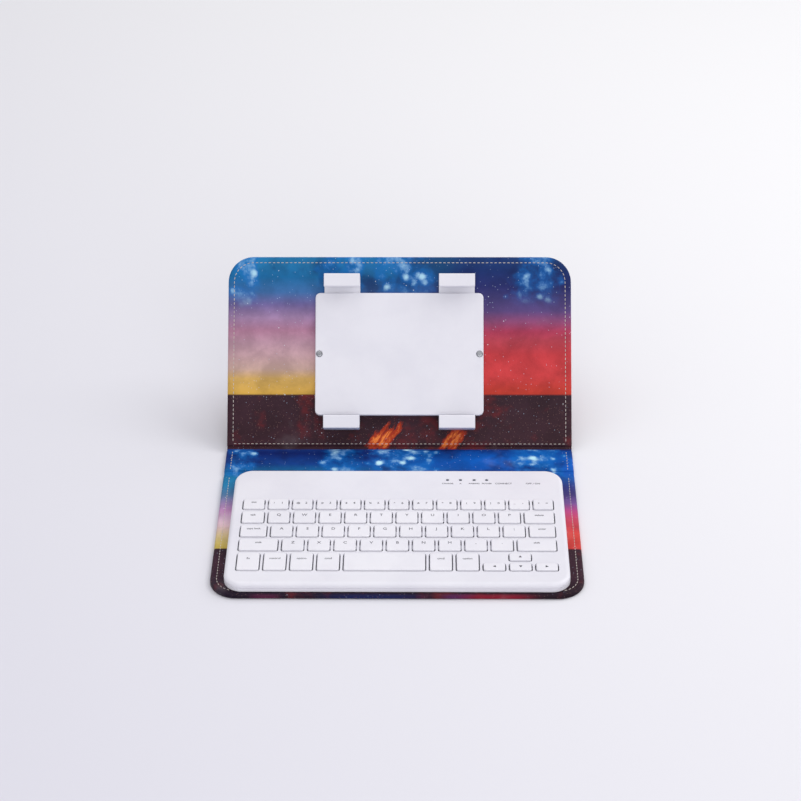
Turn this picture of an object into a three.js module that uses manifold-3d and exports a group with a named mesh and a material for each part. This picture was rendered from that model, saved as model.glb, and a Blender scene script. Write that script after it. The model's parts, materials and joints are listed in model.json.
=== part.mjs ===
import * as THREE from 'three';
import { mergeVertices } from 'three/addons/utils/BufferGeometryUtils.js';
import Module from 'manifold-3d';

// Folding case for a small tablet: a wrap of front cover, spine and rear panel, a keyboard fixed in
// the front cover, a spring clamp on the rear panel and an easel stand behind it.
// Millimetres, +Z up, +X to the typist's right, +Y towards the rear panel. The origin is at the
// centre of the front cover's underside, and the case stands open on the plane Z = 0.

// Wrap
const CASE_WIDTH = 218;
const FRONT_DEPTH = 124;
const SPINE_DEPTH = 29;
const REAR_HEIGHT = 124;
const CORNER_RADIUS = 16;
const LEAN = THREE.MathUtils.degToRad(52);
const SKIN = 0.6;
const BOARD = 1.4;
const LINING = 0.6;
const GLUE = 0.3;
const FOLD_CLEAR = 0.3;
const CREASE_LINING = 0.6;

// Stand behind the rear panel
const STAND_WIDTH = 110;
const STAND_LENGTH = 78;
const STAND_PIVOT = 90;
const STAND_RADIUS = 8;
const STAND_BOARD = 1.2;
const STAND_ANCHOR = 10;
const MAGNET_RADIUS = 6;
const MAGNET_FROM_FOOT = 14;
const MAGNET_CLEAR = 0.3;

// Clamp on the rear panel
const HOOK_OFFSET = 36.3;
const HOOK_WIDTH = 22.7;
const HOOK_LIP = 4.4;
const HOOK_WALL = 2.9;
const LIP_THICKNESS = 1.7;
const SLOT = 7.2;
const LEDGE = 17.3;
const BAY_SHUT = 90;
const BAY_OPEN = 136;
const PAD = 0.8;
const PLAY = 0.3;
const CLAMP_BELOW_LIP = 0.6;
const CLAMP_TOP = 100;
const CLAMP_FLOOR = 1.2;
const CLAMP_COVER = 1.4;
const JAW = 2.1;
const JAW_SIDE_CLEAR = 0.5;
const RAIL = 5;
const LOWER_BAR = 7.4;
const UPPER_BAR = 6;
const UPPER_BAR_AT = 52;
const ARM_TAIL_AT = 33;
const SPRING_OFFSET = 12;
const SPRING_WIRE = 0.4;
const SPRING_TURNS = 8;
const SCREW_RADIUS = 1;
const SCREW_HEAD_RADIUS = 1.9;
const SCREW_HEAD = 0.8;

// Keyboard
const KEYBOARD_WIDTH = 201.2;
const KEYBOARD_DEPTH = 116.2;
const KEYBOARD_RADIUS = 11;
const KEYBOARD_FRONT_MARGIN = 2.4;
const KEYBOARD_SEAM = 2.6;
const KEYBOARD_FLOOR = 1;
const KEYBOARD_WALL = 1.4;
const KEYBOARD_TOP = 1.2;
const KEYBOARD_BEVEL = 0.8;
const PLATE = 0.5;
const SHEET = 0.4;
const DOME = 0.4;
const DOME_CLEAR = 0.2;
const DOME_RADIUS = 2;

// Keys
const FIELD_WIDTH = 187;
const FIELD_FROM_REAR = 32.1;
const KEY_GAP = 2.8;
const ROW_GAP = 2.9;
const KEY_RADIUS = 1.2;
const KEY_BEVEL = 0.35;
const KEY_PROUD = 0.8;
const KEY_SLOT = 0.7;
const KEY_TRAVEL = 1.5;
const FLANGE = 0.85;
const FLANGE_THICKNESS = 0.6;
const FLANGE_CLEAR = 0.2;
const WEB = 4;

// The keyboard's height is the stack of its layers over a pressed key
const KEYBOARD_HEIGHT = KEYBOARD_FLOOR + PLATE + SHEET + DOME + DOME_CLEAR + KEY_TRAVEL
  + FLANGE_THICKNESS + FLANGE_CLEAR + KEYBOARD_TOP;

// Controls and electronics along the keyboard's rear wall
const LENS_RADIUS = 0.8;
const LENS_AT = [30.1, 38, 46.4, 54.1];
const LENS_FROM_REAR = 10.4;
const BUTTON_AT = 65;
const BUTTON_WIDTH = 4;
const SWITCH_AT = 82;
const SWITCH_WIDTH = 3;
const SWITCH_TRAVEL = 2.5;
const CONTROL_HEIGHT = 1.6;
const CONTROL_FLANGE = 0.6;
const CONTROL_PROUD = 0.7;
const CONTROL_CLEAR = 0.3;
const PORT_AT = 44;
const PORT_WIDTH = 7.6;
const PORT_HEIGHT = 2.5;
const PORT_DEPTH = 5.2;
const PORT_WALL = 0.35;
const CIRCUIT_WIDTH = 50;
const CIRCUIT_DEPTH = 20;
const CIRCUIT_THICKNESS = 0.8;
const BATTERY_WIDTH = 70;
const BATTERY_DEPTH = 24;
const BATTERY_THICKNESS = 2.6;

// Rows of keys from the rear. Each key is a mesh name and a cap width, and keys that share a name
// are one comb of caps. The widths are scaled together to fill the field.
const run = (name, count, width) => Array.from({ length: count }, () => [name, width]);
const ROWS = [
  { height: 9.9, keys: [['keys_number', 13.3], ...run('keys_number', 12, 12.5)] },
  { height: 11.3, keys: [['key_tab', 13.6], ...run('keys_top', 10, 13.2), ['key_backspace', 18.4]] },
  { height: 11.1, keys: [['key_caps', 16.1], ...run('keys_home', 10, 13.2), ['key_enter', 15.9]] },
  {
    height: 11,
    keys: [['key_shift_left', 23.7], ...run('keys_bottom', 9, 13.2), ['key_shift_right', 23.7]],
  },
  {
    height: 16.3,
    keys: [
      ['key_fn', 13.5],
      ['key_control', 13.5],
      ['key_option_left', 13.5],
      ['key_command_left', 13.5],
      ['key_space', 50],
      ['key_command_right', 13.5],
      ['key_option_right', 13.5],
      ['key_left', 13.2, 'front'],
      ['key_up', 13.2, 'pair', 'key_down'],
      ['key_right', 13.2, 'front'],
    ],
  },
];

const wasm = await Module();
wasm.setup();

const material = (color, roughness, metalness = 0) =>
  new THREE.MeshStandardMaterial({ color, roughness, metalness });
const leather = () => material(0x15131c, 0.6);
const print = () => material(0x3a2f6a, 0.55);
const fibreboard = () => material(0x8a8278, 0.9);
const whitePlastic = () => material(0xeceaf2, 0.4);
const keyPlastic = () => material(0xf1f0f5, 0.45);
const rubber = () => material(0xd9d8dd, 0.8);
const steel = () => material(0xb8babd, 0.35, 1);

function solid(geometry) {
  const bare = geometry.clone();
  bare.deleteAttribute('normal');
  bare.deleteAttribute('uv');
  const merged = mergeVertices(bare, 1e-5);
  return new wasm.Manifold(new wasm.Mesh({
    numProp: 3,
    vertProperties: new Float32Array(merged.attributes.position.array),
    triVerts: new Uint32Array(merged.index.array),
  }));
}

function geometryOf(manifold) {
  const mesh = manifold.getMesh();
  const geometry = new THREE.BufferGeometry();
  geometry.setAttribute('position', new THREE.BufferAttribute(mesh.vertProperties, 3));
  geometry.setIndex(new THREE.BufferAttribute(mesh.triVerts, 1));
  geometry.computeVertexNormals();
  return geometry;
}

const joined = (solids) => solids.reduce((sum, next) => sum.add(next));

// A rectangle with its own radius at each corner: front left, front right, rear right, rear left.
function rectangle(x0, x1, y0, y1, radii, steps = 6) {
  const [a, b, c, d] = Array.isArray(radii) ? radii : [radii, radii, radii, radii];
  const corners = [
    [x0 + a, y0 + a, a, Math.PI],
    [x1 - b, y0 + b, b, 1.5 * Math.PI],
    [x1 - c, y1 - c, c, 0],
    [x0 + d, y1 - d, d, 0.5 * Math.PI],
  ];
  const points = corners.flatMap(([x, y, r, start]) => {
    const count = r > 0 ? steps : 0;
    return Array.from({ length: count + 1 }, (_, i) => {
      const angle = start + (0.5 * Math.PI * i) / Math.max(count, 1);
      return new THREE.Vector2(x + r * Math.cos(angle), y + r * Math.sin(angle));
    });
  });
  return new THREE.Shape(points);
}

function prism(shapes, z0, z1) {
  const geometry = new THREE.ExtrudeGeometry(shapes, { depth: z1 - z0, bevelEnabled: false });
  return solid(geometry.translate(0, 0, z0));
}

function bevelled(shape, z0, z1, bevel) {
  const geometry = new THREE.ExtrudeGeometry(shape, {
    depth: z1 - z0 - 2 * bevel,
    bevelThickness: bevel,
    bevelSize: bevel,
    bevelOffset: -bevel,
    bevelSegments: 1,
  });
  return solid(geometry.translate(0, 0, z0 + bevel));
}

function block(x0, x1, y0, y1, z0, z1) {
  const geometry = new THREE.BoxGeometry(x1 - x0, y1 - y0, z1 - z0);
  return solid(geometry.translate((x0 + x1) / 2, (y0 + y1) / 2, (z0 + z1) / 2));
}

function disc(x, y, radius, z0, z1, sides = 20) {
  const geometry = new THREE.CylinderGeometry(radius, radius, z1 - z0, sides);
  return solid(geometry.rotateX(Math.PI / 2).translate(x, y, (z0 + z1) / 2));
}

// An outline in the Y-Z plane, carried along X.
function across(points, x0, x1) {
  const shape = new THREE.Shape(points.map(([y, z]) => new THREE.Vector2(y, z)));
  const geometry = new THREE.ExtrudeGeometry(shape, { depth: x1 - x0, bevelEnabled: false });
  const turn = new THREE.Matrix4().makeBasis(
    new THREE.Vector3(0, 1, 0),
    new THREE.Vector3(0, 0, 1),
    new THREE.Vector3(1, 0, 0),
  );
  return solid(geometry.applyMatrix4(turn).translate(x0, 0, 0));
}

// A strip bent at the fold axis, from one direction to another, as an outline in the Y-Z plane.
function bentStrip(from, fromLength, to, toLength, below, above) {
  const a = { y: Math.cos(from), z: Math.sin(from) };
  const b = { y: Math.cos(to), z: Math.sin(to) };
  const na = { y: a.z, z: -a.y };
  const nb = { y: -b.z, z: b.y };
  const scale = 1 / (1 + na.y * nb.y + na.z * nb.z);
  const m = { y: (na.y + nb.y) * scale, z: (na.z + nb.z) * scale };
  return [
    [a.y * fromLength - na.y * below, a.z * fromLength - na.z * below],
    [-m.y * below, -m.z * below],
    [b.y * toLength - nb.y * below, b.z * toLength - nb.z * below],
    [b.y * toLength + nb.y * above, b.z * toLength + nb.z * above],
    [m.y * above, m.z * above],
    [a.y * fromLength + na.y * above, a.z * fromLength + na.z * above],
  ];
}

function mesh(parent, name, manifold, look) {
  const piece = new THREE.Mesh(geometryOf(manifold), look);
  piece.name = name;
  parent.add(piece);
}

const group = new THREE.Group();

// Layers of the wrap, above the outer face of the skin. The fold axes run in the skin's middle, and
// the stiff layers stop short of them so that two neighbours clear each other at a right angle.
const BOARD_AT = SKIN + GLUE;
const LINING_AT = BOARD_AT + BOARD + GLUE;
const WRAP = LINING_AT + LINING;
const FOLD = SKIN / 2;
const CREASE = WRAP - FOLD + FOLD_CLEAR;
const HALF = CASE_WIDTH / 2;

function wrapPanel(parent, name, y0, y1, radii, z) {
  const shape = (inset) => rectangle(
    -HALF + inset, HALF - inset, y0 + inset, y1 - inset, radii.map((r) => Math.max(r - inset, 0)), 8,
  );
  const edge = SKIN + GLUE;
  const skin = prism(shape(0), z, z + BOARD_AT + BOARD)
    .subtract(prism(shape(SKIN), z + SKIN, z + WRAP));
  const board = prism(shape(edge), z + BOARD_AT, z + BOARD_AT + BOARD);
  mesh(parent, `${name}_skin`, skin, leather());
  mesh(parent, `${name}_lining`, prism(shape(0), z + LINING_AT, z + WRAP), print());
  return board;
}

// Front cover and spine, flat on the table
const FRONT = -FRONT_DEPTH / 2;
const FRONT_FOLD = FRONT_DEPTH / 2;
const REAR_FOLD = FRONT_FOLD + SPINE_DEPTH;
const outer = CORNER_RADIUS;
const frontBoard = wrapPanel(group, 'front', FRONT, FRONT_FOLD - CREASE, [outer, outer, 0, 0], 0);
mesh(group, 'front_board', frontBoard, fibreboard());
const spineBoard = wrapPanel(
  group, 'spine', FRONT_FOLD + CREASE, REAR_FOLD - CREASE, [0, 0, 0, 0], 0,
);
mesh(group, 'spine_board', spineBoard, fibreboard());

// Creases: skin and lining glued to each other, as one strip each
const creaseLength = CREASE - FOLD_CLEAR;
const creaseAbove = FOLD + CREASE_LINING;
const frontCrease = new THREE.Group();
frontCrease.position.set(0, FRONT_FOLD, FOLD);
group.add(frontCrease);
const flat = bentStrip(Math.PI, creaseLength, 0, creaseLength, FOLD, creaseAbove);
mesh(frontCrease, 'front_crease', across(flat, -HALF, HALF), leather());
const rearCrease = new THREE.Group();
rearCrease.position.set(0, REAR_FOLD, FOLD);
group.add(rearCrease);
const bent = bentStrip(Math.PI, creaseLength, LEAN, creaseLength, FOLD, creaseAbove);
mesh(rearCrease, 'rear_crease', across(bent, -HALF, HALF), leather());

// Rear panel, in its own frame: +Y up the panel from the fold, +Z out of its inner face
const rear = new THREE.Group();
rear.position.set(0, REAR_FOLD, FOLD);
rear.rotation.x = LEAN;
group.add(rear);
const magnetAt = STAND_PIVOT - STAND_LENGTH + MAGNET_FROM_FOOT;
const rearBoard = wrapPanel(rear, 'rear', CREASE, REAR_HEIGHT, [0, 0, outer, outer], -FOLD)
  .subtract(disc(0, magnetAt, MAGNET_RADIUS + MAGNET_CLEAR, -FOLD, WRAP));
mesh(rear, 'rear_board', rearBoard, fibreboard());
const keeper = disc(0, magnetAt, MAGNET_RADIUS, BOARD_AT - FOLD, BOARD_AT - FOLD + BOARD);
mesh(rear, 'stand_keeper', keeper, steel());

// Stand, in its own frame: +Y up the panel when folded, +Z towards the panel. Its foot meets Z = 0.
const STAND_LINING = SKIN / 2;
const pivotDepth = FOLD + GLUE + STAND_LINING;
const pivotHeight = FOLD + STAND_PIVOT * Math.sin(LEAN) - pivotDepth * Math.cos(LEAN);
const footReach = Math.hypot(STAND_LENGTH, STAND_LINING);
const STAND_OPEN = Math.PI - Math.asin(pivotHeight / footReach)
  + Math.atan2(STAND_LINING, STAND_LENGTH) - LEAN;
const hinge = new THREE.Group();
hinge.position.set(0, STAND_PIVOT, -pivotDepth);
rear.add(hinge);
const stand = new THREE.Group();
stand.rotation.x = STAND_OPEN;
hinge.add(stand);
const standBoardTop = -STAND_LINING - GLUE;
const standBoardBottom = standBoardTop - STAND_BOARD;
const standBottom = standBoardBottom - GLUE - SKIN;
const standCrease = FOLD_CLEAR - standBottom;
const standShape = (inset) => rectangle(
  -STAND_WIDTH / 2 + inset, STAND_WIDTH / 2 - inset, -STAND_LENGTH + inset, -standCrease - inset,
  [STAND_RADIUS - inset, STAND_RADIUS - inset, 0, 0], 5,
);
const standEdge = SKIN + GLUE;
const standSkin = prism(standShape(0), standBottom, standBoardTop)
  .subtract(prism(standShape(SKIN), standBottom + SKIN, 0));
mesh(stand, 'stand_skin', standSkin, leather());
mesh(stand, 'stand_lining', prism(standShape(0), -STAND_LINING, STAND_LINING), leather());
const standMagnetAt = -STAND_LENGTH + MAGNET_FROM_FOOT;
const standBoard = prism(standShape(standEdge), standBoardBottom, standBoardTop)
  .subtract(disc(0, standMagnetAt, MAGNET_RADIUS + MAGNET_CLEAR, standBottom, 0));
mesh(stand, 'stand_board', standBoard, fibreboard());
const magnet = disc(0, standMagnetAt, MAGNET_RADIUS, standBoardBottom, standBoardTop);
mesh(stand, 'stand_magnet', magnet, steel());
const standBend = bentStrip(
  Math.PI + STAND_OPEN, standCrease - FOLD_CLEAR, 0, STAND_ANCHOR, STAND_LINING, STAND_LINING,
);
mesh(hinge, 'stand_hinge', across(standBend, -STAND_WIDTH / 2, STAND_WIDTH / 2), leather());

// Clamp, in the rear panel's frame
const clamp = new THREE.Group();
clamp.position.set(0, 0, WRAP - FOLD + GLUE);
rear.add(clamp);
const jawBottom = CLAMP_FLOOR + PLAY;
const jawTop = jawBottom + JAW;
const coverBottom = jawTop + PLAY;
const face = coverBottom + CLAMP_COVER;
const lipBottom = face + SLOT;
const lipTop = lipBottom + LIP_THICKNESS;
const clampBottom = LEDGE + HOOK_LIP + CLAMP_BELOW_LIP;
const jawHalf = HOOK_OFFSET + HOOK_WIDTH / 2;
const channelHalf = jawHalf + JAW_SIDE_CLEAR;
const clampHalf = channelHalf + RAIL;
const neckHalf = HOOK_OFFSET - HOOK_WIDTH / 2;
const hookXs = [-HOOK_OFFSET, HOOK_OFFSET];
const screwXs = [-channelHalf - RAIL / 2, channelHalf + RAIL / 2];
const screwY = (clampBottom + CLAMP_TOP) / 2;
const clampShape = rectangle(-clampHalf, clampHalf, clampBottom, CLAMP_TOP, 3, 4);
const endWall = 2.3;

const channel = block(-channelHalf, channelHalf, 0, CLAMP_TOP + 1, CLAMP_FLOOR, face);
const stop = block(
  -neckHalf + JAW_SIDE_CLEAR, neckHalf - JAW_SIDE_CLEAR,
  clampBottom, clampBottom + endWall, CLAMP_FLOOR / 2, jawTop,
);
const screwHoles = joined(screwXs.map((x) => disc(
  x, screwY, SCREW_RADIUS + PLAY, jawBottom - PLAY, face + 1, 16,
)));
const base = prism(clampShape, 0, jawTop).subtract(channel).add(stop).subtract(screwHoles);
mesh(clamp, 'clamp_base', base, whitePlastic());

const headHoles = joined(screwXs.map((x) => disc(
  x, screwY, SCREW_HEAD_RADIUS + PLAY, face - SCREW_HEAD - PLAY, face + 1, 20,
)));
const cover = bevelled(clampShape, coverBottom, face, 0.4)
  .subtract(screwHoles)
  .subtract(headHoles);
mesh(clamp, 'clamp_cover', cover, whitePlastic());
screwXs.forEach((x, i) => {
  const head = disc(x, screwY, SCREW_HEAD_RADIUS, face - SCREW_HEAD, face - 0.1, 20);
  const shank = disc(x, screwY, SCREW_RADIUS, jawBottom, face - 0.4, 16);
  mesh(clamp, `clamp_screw_${i ? 'right' : 'left'}`, head.add(shank), steel());
});

// A hook's outline along the panel: an arm, a wall with room for its pad, and a lip over the slot
function hook(x, ledge, way, armEnd) {
  const wallIn = ledge - way * (PAD + PLAY);
  const wallOut = wallIn - way * HOOK_WALL;
  const lipEnd = ledge + way * HOOK_LIP;
  const points = [
    [armEnd, jawBottom],
    [wallOut, jawBottom],
    [wallOut, lipTop - 0.5],
    [wallOut + way * 0.5, lipTop],
    [lipEnd - way * 0.5, lipTop],
    [lipEnd, lipTop - 0.5],
    [lipEnd, lipBottom],
    [wallIn, lipBottom],
    [wallIn, jawTop],
    [armEnd, jawTop],
  ];
  if (way > 0) points.reverse();
  return across(points, x - HOOK_WIDTH / 2, x + HOOK_WIDTH / 2);
}

function pad(x, ledge, way) {
  const wall = ledge - way * PAD;
  return block(
    x - HOOK_WIDTH / 2 + 1, x + HOOK_WIDTH / 2 - 1,
    Math.min(wall, ledge), Math.max(wall, ledge), face + PLAY, lipBottom - PLAY,
  );
}

const lowerBarAt = clampBottom + endWall + PLAY;
const lowerBarEnd = lowerBarAt + LOWER_BAR;
const lowerBar = block(-jawHalf, jawHalf, lowerBarAt, lowerBarEnd, jawBottom, jawTop);
const lowerHooks = hookXs.map((x) => hook(x, LEDGE, 1, lowerBarAt + LOWER_BAR / 2));
mesh(clamp, 'clamp_lower_jaw', joined([lowerBar, ...lowerHooks]), whitePlastic());

// The upper jaw is drawn at the low end of its travel, BAY_OPEN - BAY_SHUT
const upperLedge = LEDGE + BAY_SHUT;
const upperBar = block(
  -jawHalf, jawHalf, UPPER_BAR_AT, UPPER_BAR_AT + UPPER_BAR, jawBottom, jawTop,
);
const upperHooks = hookXs.map((x) => hook(x, upperLedge, -1, ARM_TAIL_AT));
mesh(clamp, 'clamp_upper_jaw', joined([upperBar, ...upperHooks]), whitePlastic());

hookXs.forEach((x, i) => {
  const side = i ? 'right' : 'left';
  mesh(clamp, `lower_pad_${side}`, pad(x, LEDGE, 1), rubber());
  mesh(clamp, `upper_pad_${side}`, pad(x, upperLedge, -1), rubber());
});

class Helix extends THREE.Curve {
  constructor(radius, turns, start, length) {
    super();
    this.radius = radius;
    this.turns = turns;
    this.start = start;
    this.length = length;
  }

  getPoint(t, target = new THREE.Vector3()) {
    const angle = 2 * Math.PI * this.turns * t;
    return target.set(
      this.radius * Math.cos(angle), this.start + this.length * t, this.radius * Math.sin(angle),
    );
  }
}

const springRadius = (JAW - SPRING_WIRE) / 2;
const springStart = lowerBarEnd + PLAY + SPRING_WIRE / 2;
const springLength = UPPER_BAR_AT - PLAY - SPRING_WIRE / 2 - springStart;
const wireShape = new THREE.Shape(Array.from({ length: 5 }, (_, i) => new THREE.Vector2(
  SPRING_WIRE / 2 * Math.cos(0.4 * Math.PI * i), SPRING_WIRE / 2 * Math.sin(0.4 * Math.PI * i),
)));
[-SPRING_OFFSET, SPRING_OFFSET].forEach((x, i) => {
  const wire = new THREE.ExtrudeGeometry(wireShape, {
    steps: 8 * SPRING_TURNS,
    extrudePath: new Helix(springRadius, SPRING_TURNS, springStart, springLength),
  });
  wire.translate(x, 0, jawBottom + JAW / 2);
  mesh(clamp, `clamp_spring_${i ? 'right' : 'left'}`, solid(wire), steel());
});

// Keyboard, on the front cover's lining
const keyboard = new THREE.Group();
keyboard.position.set(0, FRONT + KEYBOARD_FRONT_MARGIN + KEYBOARD_DEPTH, WRAP);
group.add(keyboard);
const keyboardHalf = KEYBOARD_WIDTH / 2;
const keyboardShape = (inset) => rectangle(
  -keyboardHalf + inset, keyboardHalf - inset, -KEYBOARD_DEPTH + inset, -inset,
  KEYBOARD_RADIUS - inset, 8,
);
const frameBottom = KEYBOARD_HEIGHT - KEYBOARD_TOP;
const inside = keyboardShape(KEYBOARD_WALL);

// Keys: caps stand through the frame's cut-outs, and a flange or a comb's web holds them under it
const capTop = KEYBOARD_HEIGHT + KEY_PROUD;
const flangeTop = frameBottom - FLANGE_CLEAR;
const flangeBottom = flangeTop - FLANGE_THICKNESS;
const keys = new Map();
const addKey = (name, x0, x1, y0, y1) => {
  keys.set(name, [...(keys.get(name) ?? []), { x0, x1, y0, y1 }]);
};
let rowRear = -FIELD_FROM_REAR;
for (const row of ROWS) {
  const gaps = KEY_GAP * (row.keys.length - 1);
  const wanted = row.keys.reduce((sum, key) => sum + key[1], 0);
  const scale = (FIELD_WIDTH - gaps) / wanted;
  const rowFront = rowRear - row.height;
  const half = (row.height - KEY_GAP) / 2;
  let x = -FIELD_WIDTH / 2;
  for (const [name, width, place, below] of row.keys) {
    const end = x + width * scale;
    addKey(name, x, end, place === 'front' ? rowFront : rowRear - (place ? half : row.height),
      place === 'front' ? rowFront + half : rowRear);
    if (below) addKey(below, x, end, rowFront, rowFront + half);
    x = end + KEY_GAP;
  }
  rowRear = rowFront - ROW_GAP;
}
const fieldFront = rowRear + ROW_GAP;
const caps = [...keys.values()].flat();
const capShape = (cap, out) => rectangle(
  cap.x0 - out, cap.x1 + out, cap.y0 - out, cap.y1 + out, KEY_RADIUS + out, 2,
);

for (const [name, own] of keys) {
  const solids = own.map((cap) => bevelled(capShape(cap, 0), flangeBottom, capTop, KEY_BEVEL));
  const first = own[0];
  const last = own[own.length - 1];
  const middle = (first.y0 + first.y1) / 2;
  solids.push(own.length > 1
    ? block(first.x0 + KEY_RADIUS, last.x1 - KEY_RADIUS, middle - WEB / 2, middle + WEB / 2,
      flangeBottom + KEY_BEVEL / 2, flangeTop)
    : prism(capShape(first, FLANGE), flangeBottom, flangeTop));
  mesh(keyboard, name, joined(solids), keyPlastic());
}

// Plate and switch sheet under the keys
const sheetShape = rectangle(
  -FIELD_WIDTH / 2 - 2, FIELD_WIDTH / 2 + 2, fieldFront - 3, -FIELD_FROM_REAR + 1, 2, 2,
);
const plateTop = KEYBOARD_FLOOR + PLATE;
const sheetTop = plateTop + SHEET;
mesh(keyboard, 'key_plate', prism(sheetShape, KEYBOARD_FLOOR, plateTop), steel());
const domes = caps.map((cap) => disc(
  (cap.x0 + cap.x1) / 2, (cap.y0 + cap.y1) / 2, DOME_RADIUS, sheetTop - SHEET / 2,
  sheetTop + DOME, 8,
));
mesh(keyboard, 'switch_sheet', joined([prism(sheetShape, plateTop, sheetTop), ...domes]), rubber());

// Circuit board, charging port, connect button and power switch
const circuitTop = KEYBOARD_FLOOR + CIRCUIT_THICKNESS;
const wallIn = -KEYBOARD_WALL - CONTROL_CLEAR;
const circuitMiddle = (PORT_AT + SWITCH_AT) / 2;
mesh(keyboard, 'circuit_board', block(
  circuitMiddle - CIRCUIT_WIDTH / 2, circuitMiddle + CIRCUIT_WIDTH / 2,
  wallIn - CIRCUIT_DEPTH, wallIn, KEYBOARD_FLOOR, circuitTop,
), material(0x1f5a38, 0.5));
mesh(keyboard, 'battery', block(
  -FIELD_WIDTH / 2 + 6, -FIELD_WIDTH / 2 + 6 + BATTERY_WIDTH, wallIn - 1 - BATTERY_DEPTH, wallIn - 1,
  KEYBOARD_FLOOR, KEYBOARD_FLOOR + BATTERY_THICKNESS,
), material(0xaeb3b8, 0.4, 0.6));

const portBottom = circuitTop;
const portTop = portBottom + PORT_HEIGHT;
const portX = [PORT_AT - PORT_WIDTH / 2, PORT_AT + PORT_WIDTH / 2];
const port = block(...portX, -PORT_DEPTH, -0.1, portBottom, portTop).subtract(block(
  portX[0] + PORT_WALL, portX[1] - PORT_WALL, -PORT_DEPTH + 1, 1,
  portBottom + PORT_WALL, portTop - PORT_WALL,
));
mesh(keyboard, 'charge_port', port, steel());

const controlMiddle = (circuitTop + CONTROL_CLEAR + flangeTop) / 2;
const controlLow = controlMiddle - CONTROL_HEIGHT / 2;
const controlHigh = controlMiddle + CONTROL_HEIGHT / 2;
function control(x0, x1, stem) {
  const knob = block(x0, x1, wallIn - 0.5, CONTROL_PROUD, controlLow, controlHigh);
  const back = block(
    x0 - CONTROL_FLANGE, x1 + CONTROL_FLANGE, wallIn - stem, wallIn,
    controlLow - CONTROL_CLEAR, controlHigh + CONTROL_CLEAR,
  );
  return knob.add(back);
}
const buttonX = [BUTTON_AT - BUTTON_WIDTH / 2, BUTTON_AT + BUTTON_WIDTH / 2];
mesh(keyboard, 'connect_button', control(...buttonX, 1), keyPlastic());
const switchX = [SWITCH_AT - SWITCH_WIDTH / 2, SWITCH_AT + SWITCH_WIDTH / 2];
mesh(keyboard, 'power_switch', control(...switchX, 1.2), material(0x2a2a2e, 0.5));

// Light pipe: four lenses on one bar
const lensY = -LENS_FROM_REAR;
const pipeBar = block(
  LENS_AT[0] - 2, LENS_AT[3] + 2, lensY - 1.2, lensY + 1.2, flangeTop - FLANGE_THICKNESS, flangeTop,
);
const lenses = LENS_AT.map((x) => disc(x, lensY, LENS_RADIUS, flangeBottom, KEYBOARD_HEIGHT, 12));
mesh(keyboard, 'light_pipe', joined([pipeBar, ...lenses]), material(0xdfe6ea, 0.2));

// Frame and bottom case, split at the seam, with the same windows through the rear wall
const window = (x0, x1, z0, z1) => block(
  x0 - CONTROL_CLEAR, x1 + CONTROL_CLEAR, wallIn, 2, z0 - CONTROL_CLEAR, z1 + CONTROL_CLEAR,
);
const windows = joined([
  window(...portX, portBottom, portTop),
  window(...buttonX, controlLow, controlHigh),
  window(switchX[0], switchX[1] + SWITCH_TRAVEL, controlLow, controlHigh),
]);
const keyHoles = prism(caps.map((cap) => capShape(cap, KEY_SLOT)), frameBottom - 1, capTop);
const lensHoles = joined(LENS_AT.map((x) => disc(
  x, lensY, LENS_RADIUS + CONTROL_CLEAR, frameBottom - 1, capTop, 12,
)));
const below = block(
  -KEYBOARD_WIDTH, KEYBOARD_WIDTH, -2 * KEYBOARD_DEPTH, KEYBOARD_DEPTH, -10, KEYBOARD_SEAM,
);
const above = block(
  -KEYBOARD_WIDTH, KEYBOARD_WIDTH, -2 * KEYBOARD_DEPTH, KEYBOARD_DEPTH, KEYBOARD_SEAM, 20,
);
const frame = bevelled(
  keyboardShape(0), KEYBOARD_SEAM - 2 * KEYBOARD_BEVEL, KEYBOARD_HEIGHT, KEYBOARD_BEVEL,
)
  .subtract(below)
  .subtract(prism(inside, 0, frameBottom))
  .subtract(keyHoles)
  .subtract(lensHoles)
  .subtract(windows);
mesh(keyboard, 'keyboard_frame', frame, whitePlastic());
const tray = bevelled(keyboardShape(0), 0, KEYBOARD_SEAM + KEYBOARD_BEVEL, KEYBOARD_BEVEL / 2)
  .subtract(above)
  .subtract(prism(inside, KEYBOARD_FLOOR, KEYBOARD_HEIGHT))
  .subtract(windows);
mesh(keyboard, 'keyboard_tray', tray, whitePlastic());

export default group;
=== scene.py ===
"""Looks for the tablet keyboard case: printed wrap, keyboard, clamp and stand.

Shapes are written in millimetres. The wrap is first built unfolded, as one flat sheet from the
front edge (s = 0) to the rear panel's top (s = 277), and the rear panel is then turned up at its
fold.
"""

import json
import math
import random

import bmesh
import bpy
from mathutils import Matrix, Vector


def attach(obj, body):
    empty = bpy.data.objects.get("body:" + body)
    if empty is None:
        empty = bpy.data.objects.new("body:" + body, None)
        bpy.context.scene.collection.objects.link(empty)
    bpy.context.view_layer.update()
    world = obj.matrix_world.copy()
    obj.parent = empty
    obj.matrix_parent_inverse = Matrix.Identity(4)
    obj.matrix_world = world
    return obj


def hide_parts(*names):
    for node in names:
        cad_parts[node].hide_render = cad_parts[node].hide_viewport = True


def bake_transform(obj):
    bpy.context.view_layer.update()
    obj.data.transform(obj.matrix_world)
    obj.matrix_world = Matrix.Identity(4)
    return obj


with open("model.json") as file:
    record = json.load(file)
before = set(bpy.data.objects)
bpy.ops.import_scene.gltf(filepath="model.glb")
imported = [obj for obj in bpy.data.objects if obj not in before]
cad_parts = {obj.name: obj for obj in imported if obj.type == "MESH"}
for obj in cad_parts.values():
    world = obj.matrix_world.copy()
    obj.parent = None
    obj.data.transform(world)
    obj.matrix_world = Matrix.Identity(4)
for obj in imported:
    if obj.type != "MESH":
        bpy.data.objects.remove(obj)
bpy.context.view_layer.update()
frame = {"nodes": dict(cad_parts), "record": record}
rng = random.Random(7)

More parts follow.
